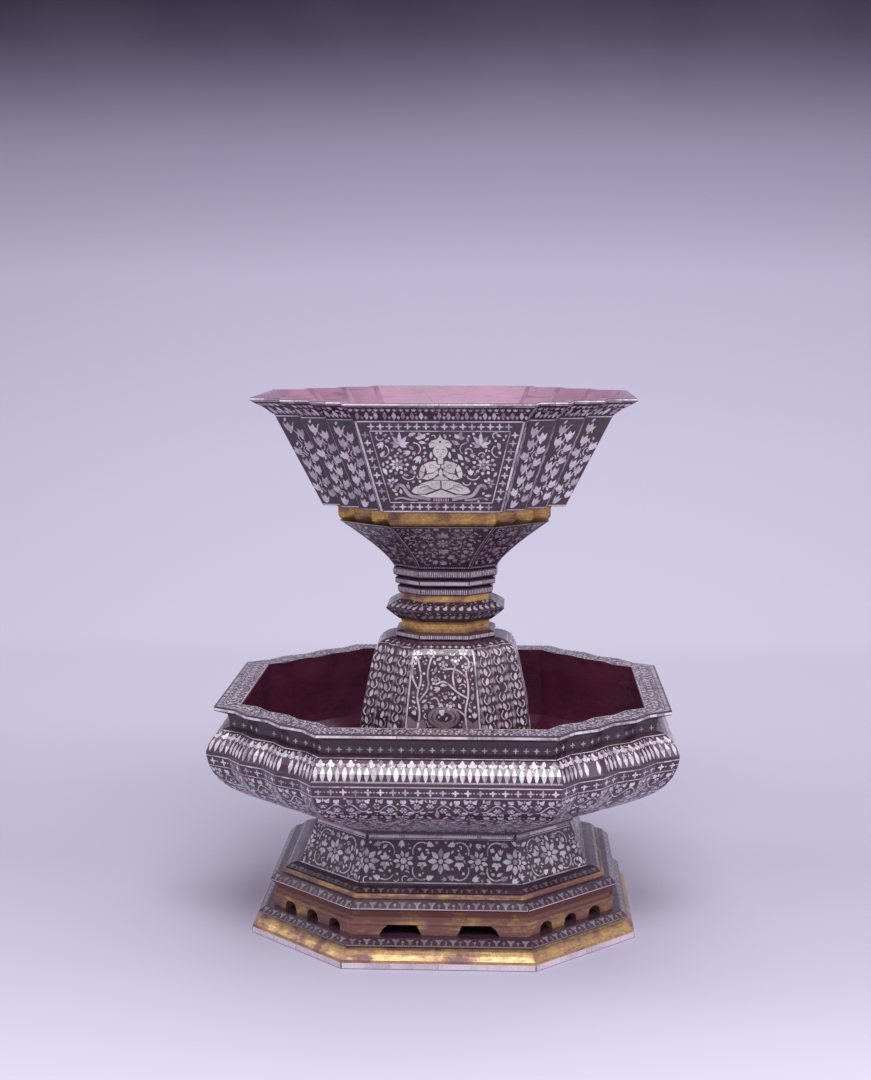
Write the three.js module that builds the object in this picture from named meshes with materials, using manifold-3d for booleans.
// A two-tier offering tray: a footed bowl that stands loose in the basin of a wider footed tray.
// Millimetres, +Z up. The origin is on the ground at the middle of the foot.
import * as THREE from 'three';
import { mergeVertices } from 'three/addons/utils/BufferGeometryUtils.js';
import Module from 'manifold-3d';

const wasm = await Module();
wasm.setup();

// Driving heights of the lower tray, from the ground up
const BASE_HEIGHT = 11.5;
const LEDGE_HEIGHT = 6;
const ARCADE_HEIGHT = 9;
const COVE_HEIGHT = 7.5;
const BAND_HEIGHT = 6;
const FILLET_HEIGHT = 2.3;
const STEP_HEIGHT = 3.7;
const WAIST_HEIGHT = 29.5;
const COLLAR_HEIGHT = 3;
const BELLY_HEIGHT = 50;
const SHOULDER_HEIGHT = 14.2;
const NECK_HEIGHT = 9.3;
const RIM_HEIGHT = 6;
const FLOOR_THICKNESS = 7;

// Driving half-widths of the lower tray
const BASE_HALF = 128.5;
const LEDGE_HALF = 124;
const BAND_HALF = 116.5;
const ARCADE_RECESS = 2.5;
const STEP_HALF = 106;
const WAIST_BOTTOM_HALF = 96.7;
const WAIST_TOP_HALF = 85.1;
const RIM_HALF = 150;
const RIM_WIDTH = 17.5;
const BELLY_SWELL = 5.4;
const NECK_RECESS = 9.5;

// Driving heights of the upper tray, from its own foot up
const UPPER_FOOT_HEIGHT = 6;
const BELL_HEIGHT = 103.5;
const BELL_COLLAR_HEIGHT = 5;
const LOWER_GILT_HEIGHT = 7.5;
const LOTUS_HEIGHT = 13.5;
const UPPER_GILT_HEIGHT = 4;
const LOWER_RING_HEIGHT = 6.5;
const MIDDLE_RING_HEIGHT = 5.5;
const UPPER_RING_HEIGHT = 7.5;
const FLARE_HEIGHT = 32.5;
const MOULDING_HEIGHT = 10.5;
const BOWL_HEIGHT = 61;
const LIP_HEIGHT = 11.5;

// Driving half-widths of the upper tray
const UPPER_FOOT_HALF = 68;
const BELL_HALF = 61;
const BELL_COLLAR_HALF = 34;
const GILT_HALF = 29.8;
const LOTUS_HALF = 40.2;
const LOWER_RING_HALF = 32.3;
const MIDDLE_RING_HALF = 33.9;
const UPPER_RING_HALF = 35.4;
const FLARE_BOTTOM_HALF = 34.8;
const FLARE_TOP_HALF = 69.9;
const MOULDING_HALF = 71;
const BOWL_BOTTOM_HALF = 80.5;
const BOWL_TOP_HALF = 110.5;
const LIP_HALF = 126.2;

// Walls, posts and gaps
const BASE_WALL = 27;
const LEDGE_WALL = 22;
const FOOT_WALL = 11;
const STEP_WALL = 20;
const WAIST_WALL = 6;
const COLLAR_WALL = 11;
const BASIN_WALL = 13;
const MOUTH_UNDERCUT = 1.5;
const FLOOR_SEAT = 3.5;
const BELL_WALL = 5;
const BELL_CROWN = 12;
const BOWL_WALL = 5;
const BOWL_FLOOR_THICKNESS = 4;
const POST_HALF = 11.5;
const GAP = 0.3;

// Half the length of the straight front face, at the foot's base and at the basin's rim. A mitred
// frame keeps one width all round, so its front grows by this share of what its half-width grows.
const FOOT_FRONT = 62.2;
const RIM_FRONT = 75.2;
const MITRE = Math.SQRT2 - 1;

// The upper tray's fronts are a share of its half-width, and spread less than that at the lip
const BELL_SHARE = 0.45;
const STEM_SHARE = 0.495;
const BOWL_SHARE = 0.487;
const LIP_SPREAD = 0.36;

// How sharply a corner's three steps turn: each is the share that a step's steep side runs sideways
const STEPS_PER_CORNER = 3;
const BASIN_STEP = 0.39;
const BELL_STEP = 0.21;
const BOWL_STEP = 0.13;
const STRAIGHT = 0.5;

const LACQUER = { color: 0x2a1a22, roughness: 0.35, metalness: 0 };
const GILT = { color: 0xb0863c, roughness: 0.45, metalness: 0.6 };
const RED_LACQUER = { color: 0x5c1a22, roughness: 0.3, metalness: 0 };

const tray = new THREE.Group();
const lowerTray = new THREE.Group();
const upperTray = new THREE.Group();
tray.add(lowerTray, upperTray);

// One corner in plan, from the end of the front face to the start of the right-hand face.
// step is the share of each stair that runs sideways on its steep side; 0.5 gives a plain chamfer.
function cornerPoints(half, front, step) {
  const stair = (half - front) / STEPS_PER_CORNER;
  const points = [[front, -half]];
  for (let i = 0; i < STEPS_PER_CORNER; i += 1) {
    const [x, y] = points[points.length - 1];
    points.push([x + stair * step, y + stair * (1 - step)]);
    points.push([x + stair, y + stair]);
  }
  return points;
}

function quarterTurn([x, y]) {
  return [-y, x];
}

function wholeRing(corner) {
  const points = [];
  let turned = corner;
  for (let side = 0; side < 4; side += 1) {
    points.push(...turned);
    turned = turned.map(quarterTurn);
  }
  return points;
}

// The whole outline in plan, anticlockwise seen from above
function outline(half, front, step) {
  return wholeRing(cornerPoints(half, front, step));
}

function octagon(half, front) {
  return wholeRing([[front, -half], [half, -front]]);
}

function geometryFrom(vertices, triangles) {
  const geometry = new THREE.BufferGeometry();
  geometry.setAttribute('position', new THREE.Float32BufferAttribute(vertices.flat(), 3));
  geometry.setIndex(triangles.flat());
  geometry.computeVertexNormals();
  return geometry;
}

// Skins a closed run of outlines: out and up the outside, then down the inside, back to the start
function ringLoft(levels) {
  const count = levels[0].points.length;
  const vertices = levels.flatMap(({ z, points }) => points.map(([x, y]) => [x, y, z]));
  const triangles = [];
  for (let level = 0; level < levels.length; level += 1) {
    const above = (level + 1) % levels.length;
    for (let i = 0; i < count; i += 1) {
      const next = (i + 1) % count;
      const a = level * count + i;
      const b = level * count + next;
      const c = above * count + next;
      const d = above * count + i;
      triangles.push([a, b, c], [a, c, d]);
    }
  }
  return geometryFrom(vertices, triangles);
}

// Skins a stack of outlines and closes it with a flat cap at each end
function solidLoft(levels) {
  const count = levels[0].points.length;
  const vertices = levels.flatMap(({ z, points }) => points.map(([x, y]) => [x, y, z]));
  const triangles = [];
  for (let level = 0; level + 1 < levels.length; level += 1) {
    for (let i = 0; i < count; i += 1) {
      const next = (i + 1) % count;
      const a = level * count + i;
      const b = level * count + next;
      triangles.push([a, b, b + count], [a, b + count, a + count]);
    }
  }
  const capAt = (level, turned) => {
    const contour = levels[level].points.map(([x, y]) => new THREE.Vector2(x, y));
    for (const [i, j, k] of THREE.ShapeUtils.triangulateShape(contour, [])) {
      const face = [i, j, k].map((index) => index + level * count);
      triangles.push(turned ? face.reverse() : face);
    }
  };
  capAt(0, true);
  capAt(levels.length - 1, false);
  return geometryFrom(vertices, triangles);
}

// Each profile is a list of [height, half-width]
function profileLevels(profile, shape) {
  return profile.map(([z, half]) => ({ z, points: shape(half) }));
}

function ringFrom(outside, inside, shape, insideShape = shape) {
  return ringLoft([...profileLevels(outside, shape), ...profileLevels(inside, insideShape)]);
}

// A moulding's outside, from points of [share of its height, inset from its half-width]
function moulding(height, half, points) {
  return points.map(([share, inset]) => [share * height, half - inset]);
}

function bore(height, half) {
  return [[height, half], [0, half]];
}

const footFront = (half) => FOOT_FRONT + (half - BASE_HALF) * MITRE;
const basinFront = (half) => RIM_FRONT + (half - RIM_HALF) * MITRE;
const footOctagon = (half) => octagon(half, footFront(half));
const basinOctagon = (half) => octagon(half, basinFront(half));
const basinOutline = (half) => outline(half, basinFront(half), BASIN_STEP);
const basinStraight = (half) => outline(half, basinFront(half), STRAIGHT);
const bellOutline = (half) => outline(half, half * BELL_SHARE, BELL_STEP);
const stemOctagon = (half) => octagon(half, half * STEM_SHARE);
const stemStraight = (half) => outline(half, half * STEM_SHARE, STRAIGHT);

function addPiece(group, name, geometry, material, height) {
  const mesh = new THREE.Mesh(geometry, new THREE.MeshStandardMaterial(material));
  mesh.name = name;
  mesh.position.z = height;
  group.add(mesh);
}

function toManifold(geometry) {
  const bare = geometry.clone();
  bare.deleteAttribute('normal');
  bare.deleteAttribute('uv');
  const merged = mergeVertices(bare, 1e-4);
  return new wasm.Manifold(new wasm.Mesh({
    numProp: 3,
    vertProperties: new Float32Array(merged.attributes.position.array),
    triVerts: new Uint32Array(merged.index.array),
  }));
}

function fromManifold(solid) {
  const mesh = solid.getMesh();
  const geometry = new THREE.BufferGeometry();
  geometry.setAttribute('position', new THREE.BufferAttribute(mesh.vertProperties, 3));
  geometry.setIndex(new THREE.BufferAttribute(mesh.triVerts, 1));
  geometry.computeVertexNormals();
  return geometry;
}

// Foot of the lower tray: a stack of eight-sided frames, each resting on the one below
let height = 0;

addPiece(lowerTray, 'foot_base_moulding', ringFrom(
  moulding(BASE_HEIGHT, BASE_HALF, [[0, 0], [0.35, 0], [0.44, 1.6], [0.68, 4], [0.9, 6.8], [1, 7.3]]),
  bore(BASE_HEIGHT, BASE_HALF - BASE_WALL),
  footOctagon,
), GILT, height);
height += BASE_HEIGHT;

addPiece(lowerTray, 'foot_lower_ledge', ringFrom(
  moulding(LEDGE_HEIGHT, LEDGE_HALF, [[0, 3], [0.3, 0], [0.45, 0], [1, 4.6]]),
  bore(LEDGE_HEIGHT, LEDGE_HALF - LEDGE_WALL),
  footOctagon,
), LACQUER, height);
height += LEDGE_HEIGHT;

// The pierced band: two openings on each straight side and three on each chamfered one
const ARCADE_HALF = BAND_HALF - ARCADE_RECESS;
const SIDE_OPENING = [[10.5, 0], [40, 0], [36.5, 4], [33, 6.8], [14.5, 6.8]];
const CORNER_OPENING_CENTRES = [-23, 0, 23];
const CORNER_OPENING = [[-6.5, 0], [6.5, 0], [5, 4.5], [2, 6.2], [-2, 6.2], [-5, 4.5]];
const CUT_BELOW = 2;

// A cutter that runs through the wall of one face; along is measured on the face, from its middle
function faceCutter(points, angle, distance) {
  const shape = new THREE.Shape(points.map(([along, up]) => (
    new THREE.Vector2(along, up === 0 ? -CUT_BELOW : up)
  )));
  const cutter = new THREE.ExtrudeGeometry(shape, { depth: FOOT_WALL * 3, bevelEnabled: false });
  cutter.rotateX(Math.PI / 2);
  cutter.translate(0, -distance + FOOT_WALL * 2, 0);
  cutter.rotateZ(angle);
  return toManifold(cutter);
}

function arcade() {
  let solid = toManifold(ringFrom(
    moulding(ARCADE_HEIGHT, ARCADE_HALF, [[0, 0], [0.78, 0], [0.8, -0.8], [1, -0.8]]),
    bore(ARCADE_HEIGHT, ARCADE_HALF - FOOT_WALL),
    footOctagon,
  ));
  const cornerDistance = (ARCADE_HALF + footFront(ARCADE_HALF)) / Math.SQRT2;
  const mirrored = SIDE_OPENING.map(([along, up]) => [-along, up]).reverse();
  for (let side = 0; side < 4; side += 1) {
    const angle = side * Math.PI / 2;
    solid = solid.subtract(faceCutter(SIDE_OPENING, angle, ARCADE_HALF));
    solid = solid.subtract(faceCutter(mirrored, angle, ARCADE_HALF));
    for (const centre of CORNER_OPENING_CENTRES) {
      const moved = CORNER_OPENING.map(([along, up]) => [along + centre, up]);
      solid = solid.subtract(faceCutter(moved, angle + Math.PI / 4, cornerDistance));
    }
  }
  return fromManifold(solid);
}

addPiece(lowerTray, 'foot_pierced_band', arcade(), GILT, height);
height += ARCADE_HEIGHT;

addPiece(lowerTray, 'foot_cove', ringFrom(
  moulding(COVE_HEIGHT, BAND_HALF, [[0, 4.5], [0.3, 5], [0.65, 3.4], [1, 1.2]]),
  bore(COVE_HEIGHT, ARCADE_HALF - FOOT_WALL),
  footOctagon,
), GILT, height);
height += COVE_HEIGHT;

addPiece(lowerTray, 'foot_middle_band', ringFrom(
  moulding(BAND_HEIGHT, BAND_HALF, [[0, 1], [0.15, 0], [0.3, 0], [1, 4.4]]),
  bore(BAND_HEIGHT, BAND_HALF - STEP_WALL),
  footOctagon,
), LACQUER, height);
height += BAND_HEIGHT;

addPiece(lowerTray, 'foot_gilt_fillet', ringFrom(
  moulding(FILLET_HEIGHT, STEP_HALF, [[0, -2.6], [0.5, -1.4], [1, -0.8]]),
  bore(FILLET_HEIGHT, STEP_HALF - STEP_WALL),
  footOctagon,
), GILT, height);
height += FILLET_HEIGHT;

addPiece(lowerTray, 'foot_top_step', ringFrom(
  moulding(STEP_HEIGHT, STEP_HALF, [[0, 0.4], [0.2, 0], [0.7, 2.2], [1, 6.6]]),
  bore(STEP_HEIGHT, STEP_HALF - STEP_WALL),
  footOctagon,
), LACQUER, height);
height += STEP_HEIGHT;

// The waist: eight leaning panels, mitred at the corners
function mitredPanel(bottom, top, wall, side, panelHeight) {
  const level = (half) => {
    const outer = basinOctagon(half);
    const inner = basinOctagon(half - wall);
    const next = (side + 1) % outer.length;
    const pull = (from, to) => {
      const length = Math.hypot(to[0] - from[0], to[1] - from[1]);
      return [0, 1].map((axis) => from[axis] + (to[axis] - from[axis]) * GAP / 2 / length);
    };
    return [
      pull(outer[side], outer[next]), pull(outer[next], outer[side]),
      pull(inner[next], inner[side]), pull(inner[side], inner[next]),
    ];
  };
  return solidLoft([{ z: 0, points: level(bottom) }, { z: panelHeight, points: level(top) }]);
}

const WAIST_PANELS = [
  'right_front', 'right', 'right_back', 'back', 'left_back', 'left', 'left_front', 'front',
];
WAIST_PANELS.forEach((place, side) => {
  const panel = mitredPanel(WAIST_BOTTOM_HALF, WAIST_TOP_HALF, WAIST_WALL, side, WAIST_HEIGHT);
  addPiece(lowerTray, `waist_panel_${place}`, panel, LACQUER, height);
});
height += WAIST_HEIGHT;

addPiece(lowerTray, 'basin_collar', ringFrom(
  moulding(COLLAR_HEIGHT, WAIST_TOP_HALF, [[0, -0.6], [0.4, -2], [1, -2.4]]),
  bore(COLLAR_HEIGHT, WAIST_TOP_HALF - COLLAR_WALL),
  basinOctagon,
), LACQUER, height);
height += COLLAR_HEIGHT;

// The basin: a swelling wall with stepped corners round a flat board
const FLOOR_HALF = WAIST_TOP_HALF - FLOOR_SEAT;
addPiece(lowerTray, 'basin_floor', solidLoft(profileLevels(
  [[0, FLOOR_HALF], [FLOOR_THICKNESS, FLOOR_HALF]],
  basinOctagon,
)), RED_LACQUER, height);

// The underside swells from the collar to the belly: [share of the rise, share of the spread]
const SWELL = [
  [0, 0], [0.06, 0.089], [0.13, 0.223], [0.2, 0.364], [0.28, 0.504], [0.37, 0.645],
  [0.47, 0.772], [0.58, 0.868], [0.7, 0.935], [0.82, 0.976], [0.94, 0.997], [1, 1],
];
const BASIN_FOOT_HALF = WAIST_TOP_HALF + 3;
const BELLY_HALF = RIM_HALF + BELLY_SWELL;
const BASIN_NECK_HALF = RIM_HALF - NECK_RECESS;
const BASIN_MOUTH_HALF = RIM_HALF - RIM_WIDTH;
const BASIN_SHOULDER_TOP = BELLY_HEIGHT + SHOULDER_HEIGHT;
const BASIN_BODY_HEIGHT = BASIN_SHOULDER_TOP + NECK_HEIGHT;

const swellHalf = (spread) => BASIN_FOOT_HALF + (BELLY_HALF - BASIN_FOOT_HALF) * spread;

// The steps at the corners fade out towards the waist
function swellLevel([rise, spread]) {
  const half = swellHalf(spread);
  const step = STRAIGHT + (BASIN_STEP - STRAIGHT) * Math.min(1, spread * 1.15);
  return { z: rise * BELLY_HEIGHT, points: outline(half, basinFront(half), step) };
}

function swellHalfAt(z) {
  const rise = z / BELLY_HEIGHT;
  const next = SWELL.findIndex(([share]) => share >= rise);
  const [rise0, spread0] = SWELL[next - 1];
  const [rise1, spread1] = SWELL[next];
  return swellHalf(spread0 + (spread1 - spread0) * (rise - rise0) / (rise1 - rise0));
}

// The shoulder rounds in from the belly to the neck: [share of its height, share of the way in]
const SHOULDER = [[0.07, 0.04], [0.35, 0.14], [0.63, 0.32], [0.88, 0.54], [1, 0.72]];
const shoulder = SHOULDER.map(([share, inward]) => [
  BELLY_HEIGHT + SHOULDER_HEIGHT * share,
  BELLY_HALF - (BELLY_HALF - BASIN_NECK_HALF) * inward,
]);
const neck = [
  [BASIN_SHOULDER_TOP + NECK_HEIGHT * 0.08, BASIN_NECK_HALF],
  [BASIN_SHOULDER_TOP + NECK_HEIGHT * 0.55, BASIN_NECK_HALF],
  [BASIN_BODY_HEIGHT, BASIN_NECK_HALF + NECK_RECESS * 0.12],
];

// The inside drops straight from the mouth until it meets the wall's thickness, then follows it down
const hollow = SWELL.map(([rise]) => rise * BELLY_HEIGHT)
  .filter((z) => z > FLOOR_THICKNESS * 1.2)
  .map((z) => [z, Math.min(BASIN_MOUTH_HALF + MOUTH_UNDERCUT, swellHalfAt(z) - BASIN_WALL)])
  .reverse();
const basinInside = [
  [BASIN_BODY_HEIGHT, BASIN_MOUTH_HALF],
  [BASIN_SHOULDER_TOP, BASIN_MOUTH_HALF],
  ...hollow,
  [FLOOR_THICKNESS, swellHalfAt(FLOOR_THICKNESS) - BASIN_WALL],
];

addPiece(lowerTray, 'basin_body', ringLoft([
  ...SWELL.map(swellLevel),
  ...profileLevels([...shoulder, ...neck], basinOutline),
  ...profileLevels(basinInside, basinStraight),
  ...profileLevels(bore(FLOOR_THICKNESS, FLOOR_HALF + GAP), basinStraight),
]), LACQUER, height);
const basinFloorTop = height + FLOOR_THICKNESS;
height += BASIN_BODY_HEIGHT;

const rimEdge = [[0, NECK_RECESS * 0.88], [0.3, NECK_RECESS * 0.36], [0.5, 0], [1, 0]];
addPiece(lowerTray, 'basin_rim', ringFrom(
  moulding(RIM_HEIGHT, RIM_HALF, rimEdge),
  bore(RIM_HEIGHT, BASIN_MOUTH_HALF),
  basinOutline,
  basinStraight,
), LACQUER, height);

// The upper tray stands on the basin floor
height = basinFloorTop;

const footRingTaper = UPPER_FOOT_HALF - BELL_HALF - 1.5;
addPiece(upperTray, 'pedestal_foot_ring', ringFrom(
  moulding(UPPER_FOOT_HEIGHT, UPPER_FOOT_HALF, [[0, 0], [0.5, 0], [1, footRingTaper]]),
  bore(UPPER_FOOT_HEIGHT, BELL_HALF - BELL_WALL),
  bellOutline,
), GILT, height);
height += UPPER_FOOT_HEIGHT;

// The bell's side: [drop from its top, inset from its half-width]
const BELL_CURVE = [
  [80, 1], [54, 4], [44, 5.5], [29.5, 8.5], [20, 10.5], [13, 12], [7, 14], [4, 16], [1.5, 20], [0, 24.5],
];
const bellSide = BELL_CURVE.map(([drop, inset]) => [BELL_HEIGHT - drop, BELL_HALF - inset]);
const bellHollow = BELL_CURVE.filter(([drop]) => drop > BELL_CROWN)
  .map(([drop, inset]) => [BELL_HEIGHT - drop, BELL_HALF - inset - BELL_WALL]).reverse();
const crownBottom = BELL_HEIGHT - BELL_CROWN;
const POST_BORE = POST_HALF + GAP;
addPiece(upperTray, 'pedestal_bell', ringLoft([
  ...profileLevels([[0, BELL_HALF], ...bellSide], bellOutline),
  ...profileLevels([[BELL_HEIGHT, POST_BORE], [crownBottom, POST_BORE]], stemStraight),
  ...profileLevels([
    [crownBottom, bellHollow[0][1] - 4],
    ...bellHollow,
    [0, BELL_HALF - BELL_WALL],
  ], bellOutline),
]), LACQUER, height);
const postBottom = height + crownBottom;
height += BELL_HEIGHT;

// The stem: eight-sided rings threaded on one post
function addStemRing(name, ringHeight, half, points, material) {
  const outside = moulding(ringHeight, half, points);
  addPiece(upperTray, name, ringFrom(outside, bore(ringHeight, POST_BORE), stemOctagon), material, height);
  height += ringHeight;
}

addStemRing('bell_collar', BELL_COLLAR_HEIGHT, BELL_COLLAR_HALF, [
  [0, 1], [0.2, 0], [0.75, 0.4], [1, 3],
], LACQUER);
addStemRing('lower_gilt_collar', LOWER_GILT_HEIGHT, GILT_HALF, [
  [0, 0.6], [0.3, 0], [0.75, 0], [1, -0.8],
], GILT);
addStemRing('lotus_ring', LOTUS_HEIGHT, LOTUS_HALF, [
  [0, 8.6], [0.2, 5.5], [0.45, 1.6], [0.58, 0], [0.66, 1], [0.86, 5.4], [1, 9],
], LACQUER);
addStemRing('upper_gilt_collar', UPPER_GILT_HEIGHT, GILT_HALF, [[0, 0], [1, 0]], GILT);
addStemRing('lower_neck_ring', LOWER_RING_HEIGHT, LOWER_RING_HALF, [
  [0, 2.2], [0.15, 0.4], [0.5, 0], [0.8, 0], [1, 1.8],
], LACQUER);
addStemRing('middle_neck_ring', MIDDLE_RING_HEIGHT, MIDDLE_RING_HALF, [
  [0, 2.8], [0.16, 0], [0.78, 0], [1, 1.8],
], LACQUER);
addStemRing('upper_neck_ring', UPPER_RING_HEIGHT, UPPER_RING_HALF, [
  [0, 2.8], [0.16, 0.4], [0.45, 0], [0.78, 0.4], [1, 2.2],
], LACQUER);

// The flare opens on a hollow curve from the neck to the moulding under the bowl
const flareSpread = FLARE_TOP_HALF - FLARE_BOTTOM_HALF;
const FLARE_LEVELS = [0, 0.16, 0.33, 0.5, 0.67, 0.84, 1];
const flareCurve = FLARE_LEVELS.map((share) => [share, flareSpread * (1 - share ** 1.25)]);
addStemRing('bowl_flare', FLARE_HEIGHT, FLARE_TOP_HALF, flareCurve, LACQUER);

const bowlOutline = (half) => outline(half, half * BOWL_SHARE, BOWL_STEP);
addPiece(upperTray, 'bowl_gilt_moulding', ringLoft([
  ...profileLevels(
    moulding(MOULDING_HEIGHT, MOULDING_HALF, [[0, 3], [0.2, 0.8], [0.35, 0], [0.85, 0], [1, -1.4]]),
    bowlOutline,
  ),
  ...profileLevels(bore(MOULDING_HEIGHT, POST_BORE), stemStraight),
]), GILT, height);
height += MOULDING_HEIGHT;

const postLength = height - postBottom;
addPiece(upperTray, 'stem_post', solidLoft(profileLevels(
  [[0, POST_HALF], [postLength, POST_HALF]],
  stemOctagon,
)), LACQUER, postBottom);

// The bowl: a board, four leaning panels and four stepped corners
const INNER_SHARE = 0.8;
const bowlFront = (half) => {
  const spread = Math.max(0, half - BOWL_TOP_HALF);
  return (half - spread) * BOWL_SHARE + spread * LIP_SPREAD;
};
const innerFront = (half) => bowlFront(half) - BOWL_WALL * INNER_SHARE;
const bowlInner = (half) => outline(half - BOWL_WALL, innerFront(half), BOWL_STEP);
addPiece(upperTray, 'bowl_floor', solidLoft([0, BOWL_FLOOR_THICKNESS].map((z) => ({
  z,
  points: outline(BOWL_BOTTOM_HALF - BOWL_WALL - GAP, innerFront(BOWL_BOTTOM_HALF) - GAP, BOWL_STEP),
}))), RED_LACQUER, height);

function bowlPanelLevel(half) {
  const outerEnd = bowlFront(half) - GAP;
  const innerEnd = innerFront(half) - GAP;
  const inner = -half + BOWL_WALL;
  return [[-outerEnd, -half], [outerEnd, -half], [innerEnd, inner], [-innerEnd, inner]];
}

function bowlCornerLevel(half) {
  const outer = cornerPoints(half, bowlFront(half), BOWL_STEP);
  const inner = cornerPoints(half - BOWL_WALL, innerFront(half), BOWL_STEP);
  return [...outer, ...inner.reverse()];
}

function bowlWall(level) {
  return solidLoft([
    { z: 0, points: level(BOWL_BOTTOM_HALF) },
    { z: BOWL_HEIGHT, points: level(BOWL_TOP_HALF) },
  ]);
}

const BOWL_SIDES = ['front', 'right', 'back', 'left'];
const BOWL_CORNERS = ['right_front', 'right_back', 'left_back', 'left_front'];
BOWL_SIDES.forEach((place, side) => {
  const panel = bowlWall(bowlPanelLevel);
  panel.rotateZ(side * Math.PI / 2);
  addPiece(upperTray, `bowl_panel_${place}`, panel, LACQUER, height);
});
BOWL_CORNERS.forEach((place, side) => {
  const corner = bowlWall(bowlCornerLevel);
  corner.rotateZ(side * Math.PI / 2);
  addPiece(upperTray, `bowl_corner_${place}`, corner, LACQUER, height);
});
height += BOWL_HEIGHT;

const lipSpread = LIP_HALF - BOWL_TOP_HALF;
const lipCurve = [[0, lipSpread], [0.42, lipSpread * 0.58], [0.76, 1.6], [0.85, 0], [1, 0.5]];
addPiece(upperTray, 'bowl_lip', ringLoft([
  ...profileLevels(
    moulding(LIP_HEIGHT, LIP_HALF, lipCurve),
    (half) => outline(half, bowlFront(half), BOWL_STEP),
  ),
  { z: LIP_HEIGHT, points: bowlInner(LIP_HALF) },
  { z: 0, points: bowlInner(BOWL_TOP_HALF) },
]), LACQUER, height);

export default tray;
